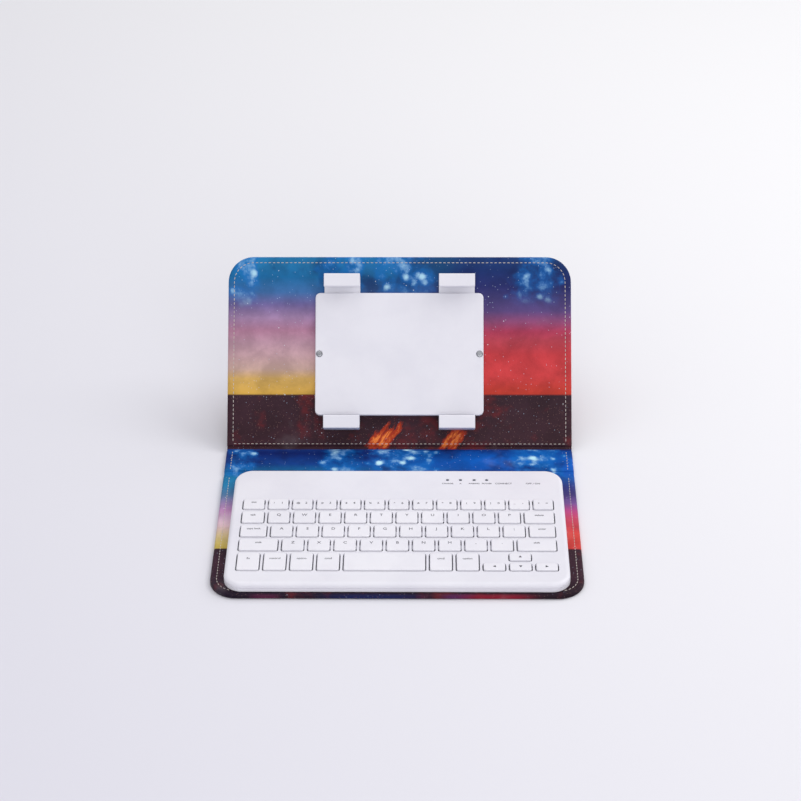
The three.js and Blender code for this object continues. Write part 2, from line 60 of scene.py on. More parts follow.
# Sizes in millimetres and angles: the CAD part's, and the insets and pitch of the stitching
HALF = 109.0
FRONT = -62.0
FRONT_FOLD = 62.0
REAR_FOLD = 91.0
REAR_HEIGHT = 124.0
CREASE = 3.2
RADIUS = 16.0
WRAP = 3.2
FOLD = 0.3
LEAN = math.radians(52)
STAND_PIVOT = 90.0
STAND_DEPTH = 0.9
STAND_OPEN = math.radians(63.265)
STAND_HALF = 55.0
STAND_LENGTH = 78.0
STAND_CREASE = 3.0
STAND_BOTTOM = -2.7
STAND_RADIUS = 8.0
STAND_STITCH_INSET = 3.0
STAND_PITCH = 3.2
KEYBOARD_HALF = 100.6
KEYBOARD_RADIUS = 11.0
KEYBOARD_DEPTH = 116.2
KEYBOARD_REAR = 56.6
FIELD_WIDTH = 187.0
FIELD_FROM_REAR = 32.1
LENS_AT = (30.1, 38.0, 46.4, 54.1)
KEY_GAP = 2.8
ROW_GAP = 2.9
KEY_SLOT = 0.7
STITCH_INSET = 3.8

MM = Matrix.Scale(0.001, 4)


def about(y, z, angle):
    return (
        Matrix.Translation((0, y, z))
        @ Matrix.Rotation(angle, 4, "X")
        @ Matrix.Translation((0, -y, -z))
    )


FLAT = Matrix.Identity(4)
RISEN = about(REAR_FOLD, FOLD, LEAN)
PANEL = Matrix.Translation((0, REAR_FOLD, FOLD)) @ Matrix.Rotation(LEAN, 4, "X")
HINGE = PANEL @ Matrix.Translation((0, STAND_PIVOT, -STAND_DEPTH))
STAND = HINGE @ Matrix.Rotation(STAND_OPEN, 4, "X")


# ---------------------------------------------------------------- materials


def rgb(red, green, blue, alpha=1.0):
    """Linear colour from 8-bit sRGB values."""

    def linear(v):
        v /= 255.0
        return v / 12.92 if v <= 0.04045 else ((v + 0.055) / 1.055) ** 2.4

    return (linear(red), linear(green), linear(blue), alpha)


class Shader:
    """A Principled material with short ways to add and link nodes."""

    def __init__(self, name):
        self.material = bpy.data.materials.new(name)
        self.material.use_nodes = True
        self.tree = self.material.node_tree
        self.bsdf = self.tree.nodes["Principled BSDF"]

    def put(self, socket, value):
        if isinstance(value, bpy.types.NodeSocket):
            self.tree.links.new(value, socket)
        else:
            socket.default_value = value

    def node(self, kind, inputs=None, output=0, **settings):
        made = self.tree.nodes.new("ShaderNode" + kind)
        for key, value in settings.items():
            setattr(made, key, value)
        for key, value in (inputs or {}).items():
            self.put(made.inputs[key], value)
        return made.outputs[output]

    def math(self, operation, a, b=0.0, c=0.0, clamp=False):
        return self.node(
            "Math", {0: a, 1: b, 2: c}, operation=operation, use_clamp=clamp
        )

    def mix(self, factor, a, b, blend="MIX"):
        return self.node(
            "Mix", {0: factor, 6: a, 7: b}, 2, data_type="RGBA", blend_type=blend
        )

    def smooth(self, value, low, high):
        return self.node(
            "MapRange",
            {0: value, 1: low, 2: high, 3: 0.0, 4: 1.0},
            interpolation_type="SMOOTHSTEP",
        )

    def ramp(self, value, stops):
        made = self.tree.nodes.new("ShaderNodeValToRGB")
        elements = made.color_ramp.elements
        while len(elements) < len(stops):
            elements.new(0.5)
        for element, (place, colour) in zip(elements, stops):
            element.position = place
            element.color = colour
        self.put(made.inputs[0], value)
        return made.outputs[0]

    def noise(self, vector, scale, detail, rough=0.55, distort=0.0):
        return self.node(
            "TexNoise",
            {
                "Vector": vector,
                "Scale": scale,
                "Detail": detail,
                "Roughness": rough,
                "Distortion": distort,
            },
        )

    def bump(self, height, strength, distance):
        return self.node(
            "Bump", {"Height": height, "Strength": strength, "Distance": distance}
        )


SHEET_MM = 100.0  # one UV unit is this many millimetres of the unfolded sheet
SHEET_LENGTH = 277.0

# Where the print changes on the sheet, in UV units
FRONT_DARK_END = 0.45
FOLD_AT = 1.53
REAR_DARK_END = 1.888

# Colours down the sheet's left and right sides: millimetres from the front edge, 8-bit sRGB
LEFT_PRINT = [
    (0.0, (30, 16, 36)),
    (30.0, (58, 32, 46)),
    (44.8, (46, 26, 40)),
    (45.2, (206, 180, 82)),
    (52.0, (208, 186, 112)),
    (60.0, (212, 188, 150)),
    (68.0, (211, 180, 186)),
    (76.0, (198, 166, 188)),
    (84.0, (190, 138, 184)),
    (92.0, (156, 134, 180)),
    (100.0, (84, 120, 160)),
    (110.0, (34, 122, 168)),
    (122.0, (20, 118, 166)),
    (134.0, (8, 60, 134)),
    (146.0, (2, 30, 100)),
    (152.7, (2, 50, 130)),
    (153.3, (60, 32, 42)),
    (188.6, (54, 32, 42)),
    (189.0, (206, 162, 70)),
    (199.0, (208, 168, 96)),
    (205.0, (202, 168, 156)),
    (214.0, (200, 162, 168)),
    (222.0, (186, 146, 162)),
    (230.0, (178, 126, 152)),
    (238.0, (164, 132, 170)),
    (246.0, (112, 100, 152)),
    (254.0, (60, 104, 158)),
    (264.0, (22, 104, 158)),
    (277.0, (34, 120, 172)),
]
RIGHT_PRINT = [
    (0.0, (34, 16, 30)),
    (30.0, (62, 34, 48)),
    (44.8, (50, 28, 40)),
    (45.2, (202, 62, 58)),
    (60.0, (200, 66, 60)),
    (68.0, (192, 64, 76)),
    (76.0, (190, 70, 98)),
    (84.0, (172, 68, 124)),
    (92.0, (116, 80, 142)),
    (101.0, (72, 62, 124)),
    (110.0, (48, 58, 128)),
    (119.0, (24, 84, 162)),
    (130.0, (4, 84, 178)),
    (139.0, (2, 92, 188)),
    (152.7, (2, 62, 146)),
    (153.3, (60, 34, 42)),
    (188.6, (54, 32, 42)),
    (189.0, (194, 60, 44)),
    (200.0, (200, 62, 64)),
    (214.0, (196, 60, 66)),
    (223.0, (178, 64, 78)),
    (229.0, (170, 58, 86)),
    (235.0, (140, 72, 112)),
    (242.0, (88, 68, 120)),
    (250.0, (66, 60, 114)),
    (258.0, (38, 44, 104)),
    (268.0, (20, 44, 100)),
    (277.0, (26, 58, 110)),
]


def hump(n, x, centre, width):
    """1 at the centre, falling to 0 a width away."""
    away = n.math("ABSOLUTE", n.math("SUBTRACT", x, centre))
    return n.smooth(away, width, width * 0.25)


def total(n, parts):
    result = parts[0]
    for part in parts[1:]:
        result = n.math("ADD", result, part, clamp=True)
    return result


def print_bands(n, uv, x, s):
    """Bands of colour down the sheet, the left side's into the right side's, with soft haze."""
    along = n.math("DIVIDE", s, SHEET_LENGTH / SHEET_MM)
    left, right = (
        n.ramp(along, [(place / SHEET_LENGTH, rgb(*colour)) for place, colour in side])
        for side in (LEFT_PRINT, RIGHT_PRINT)
    )
    drift = n.noise(uv, 1.6, 3.0, 0.5, 0.3)
    drifted = n.math("ADD", x, n.math("MULTIPLY", n.math("SUBTRACT", drift, 0.5), 1.6))
    base = n.mix(n.smooth(drifted, -0.45, 0.45), left, right)
    haze = n.noise(uv, 4.5, 8.0, 0.62, 0.25)
    shade = n.math("MULTIPLY_ADD", n.smooth(haze, 0.32, 0.68), 0.38, 0.78)
    grey = n.node("CombineColor", {0: shade, 1: shade, 2: shade})
    return n.mix(1.0, base, grey, "MULTIPLY")


def add_gas(n, uv, x, s, base):
    """Bright gas in the blue field next to the fold, and fainter gas at the top of the panel."""
    next_to_fold = n.math(
        "MULTIPLY", n.smooth(s, 1.18, 1.26), n.smooth(s, FOLD_AT + 0.001, FOLD_AT - 0.001)
    )
    blue = n.math("ADD", next_to_fold, n.math("MULTIPLY", n.smooth(s, 2.42, 2.62), 0.75))
    gas_at = total(
        n,
        [
            hump(n, x, -0.36, 0.24),
            hump(n, x, -0.07, 0.15),
            hump(n, x, 0.10, 0.22),
            hump(n, x, 0.86, 0.26),
            hump(n, x, -0.98, 0.16),
        ],
    )
    cloud = n.noise(uv, 9.0, 7.0, 0.60)
    knots = n.node("TexVoronoi", {"Vector": uv, "Scale": 11.0, "Randomness": 1.0}, 0)
    knots = n.smooth(knots, 0.42, 0.0)
    lit = n.math("MULTIPLY_ADD", gas_at, 0.30, n.math("MULTIPLY", cloud, 0.72))
    lit = n.math("MULTIPLY_ADD", knots, 0.20, lit)
    glow = n.math("MULTIPLY", n.smooth(lit, 0.50, 0.78), blue)
    gas = n.math("MULTIPLY", n.smooth(lit, 0.66, 0.90), blue)
    deep = n.math("MULTIPLY", n.smooth(n.noise(uv, 3.6, 4.0, 0.55), 0.50, 0.66), blue)
    base = n.mix(n.math("MULTIPLY", deep, 0.7), base, rgb(2, 16, 78))
    base = n.mix(n.math("MULTIPLY", glow, 0.9), base, rgb(10, 112, 196))
    return n.mix(gas, base, rgb(196, 240, 252))


def dark_fields(n, s):
    """1 in the dark fields above the rear fold and at the front edge."""
    above_fold = n.math(
        "MULTIPLY",
        n.smooth(s, FOLD_AT, FOLD_AT + 0.003),
        n.smooth(s, REAR_DARK_END + 0.001, REAR_DARK_END - 0.001),
    )
    at_front = n.smooth(s, FRONT_DARK_END + 0.001, FRONT_DARK_END - 0.001)
    return n.math("MAXIMUM", above_fold, at_front)


def add_flames(n, uv, x, s, dark, base):
    """Two orange flames that lean over to the right, and red clouds, in the dark fields."""
    lean = n.math("MULTIPLY_ADD", n.math("SUBTRACT", s, 1.60), -0.60, x)
    tongue = n.node(
        "CombineXYZ",
        {0: n.math("MULTIPLY", lean, 15.0), 1: n.math("MULTIPLY", s, 6.5)},
    )
    flame = n.noise(tongue, 1.7, 8.0, 0.66, 0.35)
    flame_at = total(n, [hump(n, lean, -0.105, 0.135), hump(n, lean, 0.34, 0.11)])
    height = n.math("MULTIPLY", n.smooth(s, 1.48, 1.57), n.smooth(s, 1.80, 1.62))
    flame_at = n.math("MULTIPLY", flame_at, height)
    lick = n.math("MULTIPLY_ADD", flame_at, 0.34, n.math("MULTIPLY", flame, 0.82))
    lick = n.math("MULTIPLY", lick, dark)
    red_at = total(n, [hump(n, x, -0.56, 0.14), hump(n, x, 0.30, 0.5)])
    cloud = n.math("ADD", n.noise(uv, 6.0, 6.0, 0.6), n.math("MULTIPLY", red_at, 0.14))
    red = n.math("MULTIPLY", n.math("MULTIPLY", n.smooth(cloud, 0.56, 0.78), dark), 0.55)
    base = n.mix(red, base, rgb(126, 36, 38))
    base = n.mix(n.smooth(lick, 0.58, 0.70), base, rgb(176, 54, 26))
    return n.mix(n.smooth(lick, 0.70, 0.84), base, rgb(252, 138, 62))


EDGE_TINTS = [  # centre, width and colour along the front edge
    (-0.76, 0.12, (84, 30, 62)),
    (-0.14, 0.40, (22, 30, 82)),
    (0.36, 0.14, (84, 34, 84)),
    (0.58, 0.28, (140, 24, 48)),
]


def add_edge_tints(n, x, s, base):
    edge = n.smooth(s, 0.02, -0.012)
    for centre, width, tint in EDGE_TINTS:
        share = n.math("MULTIPLY", edge, hump(n, x, centre, width))
        base = n.mix(share, base, rgb(*tint))
    return base


def star_field(n, vector, scale, size, share):
    """Round dots in a random share of the cells."""
    cells = {"Vector": vector, "Scale": scale, "Randomness": 0.9}
    away = n.node("TexVoronoi", cells, 0)
    pick = n.node("SeparateColor", {0: n.node("TexVoronoi", cells, 1)}, 0)
    chosen = n.math("GREATER_THAN", pick, 1.0 - share)
    return n.math("MULTIPLY", chosen, n.smooth(away, size, size * 0.35))


def add_stars(n, uv, dark, base):
    """Stars of three sizes, the smallest only in the dark fields."""
    tiny = n.math("MULTIPLY", star_field(n, uv, 130.0, 0.26, 0.34), dark)
    small = star_field(n, uv, 62.0, 0.20, 0.30)
    large = star_field(n, uv, 21.0, 0.085, 0.30)
    base = n.mix(n.math("MULTIPLY", tiny, 0.55), base, rgb(206, 158, 142))
    base = n.mix(n.math("MULTIPLY", small, 0.55), base, rgb(206, 226, 250))
    return n.mix(n.math("MULTIPLY", large, 0.9), base, rgb(236, 246, 255))


def print_material(name, wear=1.0):
    """The star and nebula print, by place on the unfolded sheet, with leather grain."""
    n = Shader(name)
    uv = n.node("UVMap", uv_map="Sheet")
    x = n.node("SeparateXYZ", {0: uv}, 0)
    s = n.node("SeparateXYZ", {0: uv}, 1)
    dark = dark_fields(n, s)
    base = print_bands(n, uv, x, s)
    base = add_gas(n, uv, x, s, base)
    base = add_flames(n, uv, x, s, dark, base)
    base = add_edge_tints(n, x, s, base)
    base = add_stars(n, uv, dark, base)

    # Patches worn a little lighter, and the pebbles of the leather
    worn = n.math("MULTIPLY", n.smooth(n.noise(uv, 2.3, 4.0, 0.6), 0.58, 0.72), 0.06 * wear)
    base = n.mix(worn, base, rgb(214, 208, 214))
    pebble = n.node("TexVoronoi", {"Vector": uv, "Scale": 115.0}, 0, feature="F1")
    grain = n.math("MULTIPLY_ADD", n.noise(uv, 160.0, 5.0, 0.6), 0.5, pebble)
    rough = n.math("MULTIPLY_ADD", n.noise(uv, 24.0, 4.0, 0.6), 0.22, 0.42)
    n.put(n.bsdf.inputs["Base Color"], base)
    n.put(n.bsdf.inputs["Roughness"], rough)
    n.put(n.bsdf.inputs["Normal"], n.bump(grain, 0.22, 0.00012))
    n.bsdf.inputs["Specular IOR Level"].default_value = 0.14
    return n.material


def plain_material(
    name,
    colour,
    other,
    rough,
    spread=0.12,
    scale=260.0,
    bump=0.08,
    metal=0.0,
    stretch=(1, 1, 1),
    spot=None,
    by_sheet=False,
):
    """A surface of two close tones with its own grain, by place on the piece or on its UVs."""
    n = Shader(name)
    if by_sheet:
        to_metres = SHEET_MM / 1000
        sheet = n.node("UVMap", uv_map="Sheet")
        place = n.node("Mapping", {0: sheet, 3: (to_metres, to_metres, to_metres)})
    else:
        place = n.node("Mapping", {0: n.node("TexCoord", output=3), 3: stretch})
    cloud = n.noise(place, scale * 0.12, 5.0, 0.6)
    fine = n.noise(place, scale * 8.0, 4.0, 0.6)
    tone = n.mix(n.smooth(cloud, 0.35, 0.68), rgb(*colour), rgb(*other))
    if spot:
        specks = n.smooth(n.noise(place, scale * 2.0, 3.0, 0.5), 0.60, 0.70)
        tone = n.mix(n.math("MULTIPLY", specks, 0.7), tone, rgb(*spot))
    n.put(n.bsdf.inputs["Base Color"], tone)
    n.put(
        n.bsdf.inputs["Roughness"],
        n.math("MULTIPLY_ADD", fine, spread, rough - spread / 2),
    )
    n.put(n.bsdf.inputs["Normal"], n.bump(fine, bump, 0.00006))
    n.bsdf.inputs["Metallic"].default_value = metal
    return n.material


PRINT = print_material("printed_leather")
PRINT_OUT = print_material("printed_leather_outside", 2.0)
LEATHER = plain_material(
    "stand_leather", (26, 24, 34), (36, 32, 46), 0.55, 0.2, 500, 0.5, by_sheet=True
)
THREAD = plain_material(
    "thread", (206, 196, 186), (176, 168, 166), 0.8, 0.1, 900, 0.5, stretch=(1, 4, 1)
)
WHITE = plain_material(
    "white_plastic", (232, 231, 238), (227, 226, 234), 0.36, 0.1, 240, 0.10
)
WHITE_KEY = plain_material(
    "key_plastic", (236, 235, 241), (231, 230, 237), 0.42, 0.12, 300, 0.14
)
LEGEND = plain_material("legend_ink", (74, 74, 84), (62, 62, 72), 0.6)
RUBBER = plain_material(
    "grip_rubber", (206, 206, 212), (188, 188, 196), 0.8, 0.1, 500, 0.3
)
STEEL = plain_material(
    "steel", (176, 178, 182), (150, 152, 158), 0.34, 0.2, 400, 0.2, 1.0, (1, 12, 1)
)
WIRE = plain_material(
    "spring_wire", (176, 178, 182), (150, 152, 158), 0.34, 0.2, 400, 0.2, 1.0, by_sheet=True
)
BOARD = plain_material(
    "fibreboard", (150, 138, 120), (124, 112, 96), 0.9, 0.1, 300, 0.4, spot=(96, 86, 72)
)
CIRCUIT = plain_material(
    "circuit", (22, 84, 48), (16, 66, 38), 0.4, 0.1, 260, 0.2, spot=(150, 130, 60)
)
FOIL = plain_material(
    "battery_foil", (172, 176, 182), (150, 154, 160), 0.35, 0.2, 300, 0.3, 0.8
)
DARK_PLASTIC = plain_material("dark_plastic", (34, 34, 40), (44, 44, 50), 0.45)
LENS = plain_material("clear_lens", (96, 100, 110), (120, 124, 134), 0.2)

SLOT_LOOKS = {
    "outer_leather": LEATHER,
    "printed_leather": PRINT,
    "board": BOARD,
    "white_plastic": WHITE,
    "key_plastic": WHITE_KEY,
    "grip_rubber": RUBBER,
    "steel": STEEL,
    "circuit": CIRCUIT,
    "battery_foil": FOIL,
    "dark_plastic": DARK_PLASTIC,
    "clear_lens": LENS,
}
SLOTS = {p["node"]: p["material_slot"] for p in frame["record"]["subparts"]}
for node_name, node in frame["nodes"].items():
    node.data.materials.clear()
    node.data.materials.append(SLOT_LOOKS[SLOTS[node_name]])


# ------------------------------------------------------------------- meshes

TIGHT = 0.35  # share of the inset that is kept on a side next to a fold


def finish_piece(name, bm, matrix, look, body, nodes=(), smooth=40.0, tidy=True):
    """Turns a bmesh in millimetres into a piece that rides on a body."""
    if tidy:
        bmesh.ops.recalc_face_normals(bm, faces=bm.faces)
    mesh = bpy.data.meshes.new(name)
    bm.to_mesh(mesh)
    bm.free()
    mesh.transform(MM @ matrix)
    mesh.shade_smooth()
    mesh.set_sharp_from_angle(angle=math.radians(smooth))
    piece = bpy.data.objects.new(name, mesh)
    bpy.context.scene.collection.objects.link(piece)
    mesh.materials.append(look)
    if body:
        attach(piece, body)
    if nodes:
        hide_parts(*nodes)
    return piece


def line_at(points, z):
    return [(x, y, z) for x, y in points]


def circle(x, y, radius, count):
    turns = [2 * math.pi * i / count for i in range(count)]
    return [(x + radius * math.cos(a), y + radius * math.sin(a)) for a in turns]


def rounded(x0, x1, y0, y1, radii, steps):
    """Points round a rectangle, one radius a corner from the front left, anticlockwise."""
    if not isinstance(radii, (list, tuple)):
        radii = [radii] * 4
    corners = [
        (x0, y0, 1, 1, 180),
        (x1, y0, -1, 1, 270),
        (x1, y1, -1, -1, 0),
        (x0, y1, 1, -1, 90),
    ]
    points = []
    for (x, y, sx, sy, start), radius in zip(corners, radii):
        radius = max(radius, 0.02)
        for i in range(steps + 1):
            angle = math.radians(start + 90 * i / steps)
            points.append(
                (
                    x + sx * radius + radius * math.cos(angle),
                    y + sy * radius + radius * math.sin(angle),
                )
            )
    return points


def loft(bm, loops):
    """Closed skin through loops of equal length."""
    rings = [[bm.verts.new(p) for p in loop] for loop in loops]
    for a, b in zip(rings, rings[1:]):
        for i in range(len(a)):
            j = (i + 1) % len(a)
            bm.faces.new((a[i], a[j], b[j], b[i]))
    bm.faces.new(list(reversed(rings[0])))
    bm.faces.new(rings[-1])
    return rings


# Edge profiles, as pairs of inset and height
LINING_EDGE = [
    (0.6, 1.62),
    (0.12, 1.66),
    (0.0, 1.95),
    (0.04, 2.3),
    (0.22, 2.66),
    (0.55, 2.94),
    (1.05, 3.11),
    (1.7, 3.18),
    (2.6, 3.2),
    (3.3, 3.18),
    (3.8, 3.06),
    (4.3, 3.18),
    (5.2, 3.2),
]
SKIN_EDGE = [
    (1.0, 0.0),
    (0.5, 0.06),
    (0.18, 0.26),
    (0.03, 0.6),
    (0.0, 1.0),
    (0.02, 1.35),
    (0.16, 1.56),
    (0.6, 1.6),
]


def slab(profile, x0, x1, y0, y1, radii, tight, flat_top=False):
    """Slab lofted through (inset, height) pairs. The sides named in tight keep small insets.

    Its UVs are places on the flat sheet, unrolled round its edge from its wide face, which is the
    bottom unless flat_top is set.
    """
    bm = bmesh.new()
    layer = bm.loops.layers.uv.new("Sheet")
    front = TIGHT if "front" in tight else 1
    rear = TIGHT if "rear" in tight else 1

    def outline(inset):
        corners = [max(r - inset, 0) for r in radii]
        return rounded(
            x0 + inset, x1 - inset, y0 + inset * front, y1 - inset * rear, corners, 14
        )

    way = profile[::-1] if flat_top else profile
    spans = [math.dist(a, b) for a, b in zip(way, way[1:])]
    unrolled = [way[0][0] - sum(spans[:i]) for i in range(len(way))]
    if flat_top:
        unrolled.reverse()
    rings = loft(bm, [line_at(outline(inset), z) for inset, z in profile])
    flat = {}
    for ring, inset in zip(rings, unrolled):
        flat.update(zip(ring, outline(inset)))
    for face in bm.faces:
        for corner in face.loops:
            u, v = flat[corner.vert]
            corner[layer].uv = (u / SHEET_MM, (v - FRONT) / SHEET_MM)
    return bm


PANEL_LENGTHS = {
    "front": (FRONT, FRONT_FOLD - CREASE),
    "spine": (FRONT_FOLD + CREASE, REAR_FOLD - CREASE),
    "rear": (REAR_FOLD + CREASE, REAR_FOLD + REAR_HEIGHT),
}
PANELS = [  # name, body, place, corner radii, sides at a fold
    ("front", "front_cover", FLAT, (RADIUS, RADIUS, 0, 0), ("rear",)),
    ("spine", "spine", FLAT, (0, 0, 0, 0), ("front", "rear")),
    ("rear", "rear_panel", RISEN, (0, 0, RADIUS, RADIUS), ("front",)),
]
for panel, body, matrix, radii, tight in PANELS:
    for part, profile, look, slot in (
        ("lining", LINING_EDGE, PRINT, "printed_leather"),
        ("skin", SKIN_EDGE, PRINT_OUT, "outer_leather"),
    ):
        span = PANEL_LENGTHS[panel]
        bm = slab(profile, -HALF, HALF, *span, radii, tight, flat_top=part == "lining")
        node = f"{panel}_{part}"
        finish_piece(f"{node}_leather", bm, matrix, look, body, [node], 60)


def strip(bm, path, half, low, high, columns, wrinkle, uv):
    """Closed strip along path, a list of (y, z), from low to high(t) to the left of its way.

    Its UVs run from place uv[0] to place uv[1] of the unfolded sheet.
    """
    layer = bm.loops.layers.uv.new("Sheet")
    path = [Vector((0, y, z)) for y, z in path]
    rows = len(path)
    xs = [-half + 2 * half * j / columns for j in range(columns + 1)]
    grid = {}
    flat = {}
    travelled = 0.0
    for i, p in enumerate(path):
        if i:
            travelled += (p - path[i - 1]).length
        way = (path[min(i + 1, rows - 1)] - path[max(i - 1, 0)]).normalized()
        out = Vector((0, -way.z, way.y))
        t = i / (rows - 1)
        for j, x in enumerate(xs):
            ripple = math.sin(x * 0.9 + 4 * t) * math.sin(x * 0.23) + math.sin(x * 2.1)
            lift = wrinkle * ripple * math.sin(math.pi * t)
            for k, height in enumerate((low, high(t) + lift)):
                grid[i, j, k] = bm.verts.new(p + out * height + Vector((x, 0, 0)))
                flat[grid[i, j, k]] = (x, travelled)
    for i in range(rows - 1):
        for j in range(columns):
            for k in (0, 1):
                ring = [(i, j), (i + 1, j), (i + 1, j + 1), (i, j + 1)]
                bm.faces.new([grid[a, b, k] for a, b in ring])
    for i in range(rows - 1):
        for j in (0, columns):
            bm.faces.new([grid[i, j, 0], grid[i + 1, j, 0], grid[i + 1, j, 1], grid[i, j, 1]])
    for j in range(columns):
        for i in (0, rows - 1):
            bm.faces.new([grid[i, j, 0], grid[i, j + 1, 0], grid[i, j + 1, 1], grid[i, j, 1]])
    for face in bm.faces:
        for corner in face.loops:
            x, run = flat[corner.vert]
            place = uv[0] + (uv[1] - uv[0]) * run / travelled
            corner[layer].uv = (x / SHEET_MM, (place - FRONT) / SHEET_MM)


def bend_path(reach_in, reach_out, angle, steps=16):
    """Curve that comes in along +Y, turns by angle at the origin and leaves straight."""
    start = Vector((-reach_in, 0))
    end = Vector((math.cos(angle), math.sin(angle))) * reach_out
    shares = [i / steps for i in range(steps + 1)]
    return [tuple(start * (1 - t) ** 2 + end * t**2) for t in shares]


# The leather strips at the panels' folds: their lap past the crease and their faces' heights
CREASE_LAP = 0.45
CREASE_LOW = -0.28
CREASE_MIDDLE = 1.45
CREASE_RISE = 1.0  # of the upper face, from its middle to both ends
CREASE_INSET = 0.15


def crease(name, node, at, bend):
    """Soft valley of skin and lining between two panels, which bends at the fold."""
    reach = CREASE + CREASE_LAP
    bm = bmesh.new()
    strip(
        bm,
        [(at + y, FOLD + z) for y, z in bend_path(reach, reach, bend)],
        HALF - CREASE_INSET,
        CREASE_LOW,
        lambda t: CREASE_MIDDLE + CREASE_RISE * (2 * t - 1) ** 4,
        120,
        0.05,
        (at - reach, at + reach),
    )
    piece = finish_piece(name, bm, FLAT, PRINT, None, [node], 60)
    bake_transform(piece)


crease("front_crease_leather", "front_crease", FRONT_FOLD, 0.0)
crease("rear_crease_leather", "rear_crease", REAR_FOLD, LEAN)


def walk(points, pitch):
    """Evenly spaced places and directions along an open line of points."""
    points = [Vector(p) for p in points]
    lengths = [(b - a).length for a, b in zip(points, points[1:])]
    count = max(int(sum(lengths) / pitch), 1)
    step = sum(lengths) / count
    places = []
    wanted, passed = step / 2, 0.0
    for a, b, length in zip(points, points[1:], lengths):
        while length > 0 and wanted <= passed + length:
            t = (wanted - passed) / length
            places.append((a.lerp(b, t), (b - a).normalized()))
            wanted += step
        passed += length
    return places


# Places along half a stitch and the thread's share of its full radius there
STITCH_RINGS = [(-1.0, 0.35), (-0.75, 0.85), (-0.3, 1.0), (0.3, 1.0), (0.75, 0.85), (1.0, 0.35)]
STITCH_SUNK = 0.12
STITCH = 2.0
PITCH = 2.7
THREAD_RADIUS = 0.22


def add_stitch(bm, place, way, up):
    """One thread stitch: a small arched strand whose ends sink into the leather."""
    side = up.cross(way).normalized()
    rings = []
    for t, share in STITCH_RINGS:
        size = THREAD_RADIUS * share
        arch = THREAD_RADIUS * 0.9 * (1 - t * t)
        centre = place + way * (t * STITCH / 2) + up * (arch - STITCH_SUNK)
        rings.append(
            [
                centre
                + side * (size * math.cos(a))
                + up * (size * 0.8 * math.sin(a))
                for a in [2 * math.pi * k / 6 for k in range(6)]
            ]
        )
    loft(bm, rings)


def stitches(name, body, matrix, lines, up=1.0, pitch=PITCH, keep=None):
    """A row of stitches along each line, which stand out to the side of up."""
    bm = bmesh.new()
    for line in lines:
        for place, way in walk(line, pitch):
            way = Matrix.Rotation(rng.uniform(-0.05, 0.05), 3, "Z") @ way
            if keep is None or keep(place):
                add_stitch(bm, place, way, Vector((0, 0, up)))
    finish_piece(name, bm, matrix, THREAD, body, smooth=70)


def under_keyboard(place):
    """Whether a stitch lies under the keyboard's rounded outline."""
    dx = abs(place.x) - (KEYBOARD_HALF - KEYBOARD_RADIUS)
    middle = KEYBOARD_REAR - KEYBOARD_DEPTH / 2
    dy = abs(place.y - middle) - (KEYBOARD_DEPTH / 2 - KEYBOARD_RADIUS)
    reach = KEYBOARD_RADIUS + 0.6
    return math.hypot(max(dx, 0), max(dy, 0)) < reach and max(dx, dy) < reach


def hem(half, front, rear, radius, steps=12):
    """The front and the rear halves of a rounded outline, as two open lines."""
    points = rounded(-half, half, front, rear, radius, steps)
    middle = len(points) // 2
    return points[:middle], points[middle:]


EDGE = HALF - STITCH_INSET
FAR = 200  # the end of an outline whose half isn't used
STITCH_HEIGHT = 3.07
LOW_ROW = 1.33  # from the rear panel's lower edge to its lower row
hem_radius = RADIUS - STITCH_INSET
front_end = FRONT_FOLD - CREASE - 1
front_half, _ = hem(EDGE, FRONT + STITCH_INSET, FAR, hem_radius)
front_run = [(-EDGE, front_end), *front_half, (EDGE, front_end)]
rear_end = REAR_FOLD + CREASE + 2.5
_, rear_half = hem(EDGE, 0, REAR_FOLD + REAR_HEIGHT - STITCH_INSET, hem_radius)
rear_run = [(EDGE, rear_end), *rear_half, (-EDGE, rear_end)]
spine_run = [FRONT_FOLD + CREASE + 1, REAR_FOLD - CREASE - 1]
low_row = REAR_FOLD + CREASE + LOW_ROW
stitches(
    "front_stitches",
    "front_cover",
    FLAT,
    [line_at(front_run, STITCH_HEIGHT)],
    keep=lambda place: not under_keyboard(place),
)
stitches(
    "spine_stitches",
    "spine",
    FLAT,
    [[(x, y, STITCH_HEIGHT) for y in spine_run] for x in (-EDGE, EDGE)],
)
stitches(
    "rear_stitches",
    "rear_panel",
    RISEN,
    [line_at(line, STITCH_HEIGHT) for line in (rear_run, [(-EDGE, low_row), (EDGE, low_row)])],
)


# -------------------------------------------------------------------- stand

STAND_EDGE = [
    (0.9, STAND_BOTTOM),
    (0.35, STAND_BOTTOM + 0.1),
    (0.06, -2.25),
    (0.0, -1.6),
    (0.0, -0.8),
    (0.06, -0.2),
    (0.3, 0.14),
    (0.8, 0.28),
    (1.6, 0.3),
    (2.7, 0.28),
    (3.0, 0.18),
    (3.3, 0.28),
    (4.2, 0.3),
]
bm = slab(
    STAND_EDGE, -STAND_HALF, STAND_HALF, -STAND_LENGTH, -STAND_CREASE,
    (STAND_RADIUS, STAND_RADIUS, 0, 0), ("rear",),
)
finish_piece(
    "stand_flap_leather", bm, STAND, LEATHER, "stand",
    ["stand_skin", "stand_lining"], 60,
)
inner = STAND_HALF - STAND_STITCH_INSET
flap_half, _ = hem(
    inner, STAND_STITCH_INSET - STAND_LENGTH, FAR, STAND_RADIUS - STAND_STITCH_INSET, 10
)
flap_end = -STAND_CREASE - 2
FLAP_TOP = 0.2
flap_run = [(-inner, flap_end), *flap_half, (inner, flap_end)]
stitches("stand_stitches", "stand", STAND, [line_at(flap_run, FLAP_TOP)], pitch=STAND_PITCH)
back_run = line_at(flap_run, STAND_BOTTOM + 0.02)
stitches("stand_back_stitches", "stand", STAND, [back_run], -1.0, STAND_PITCH)

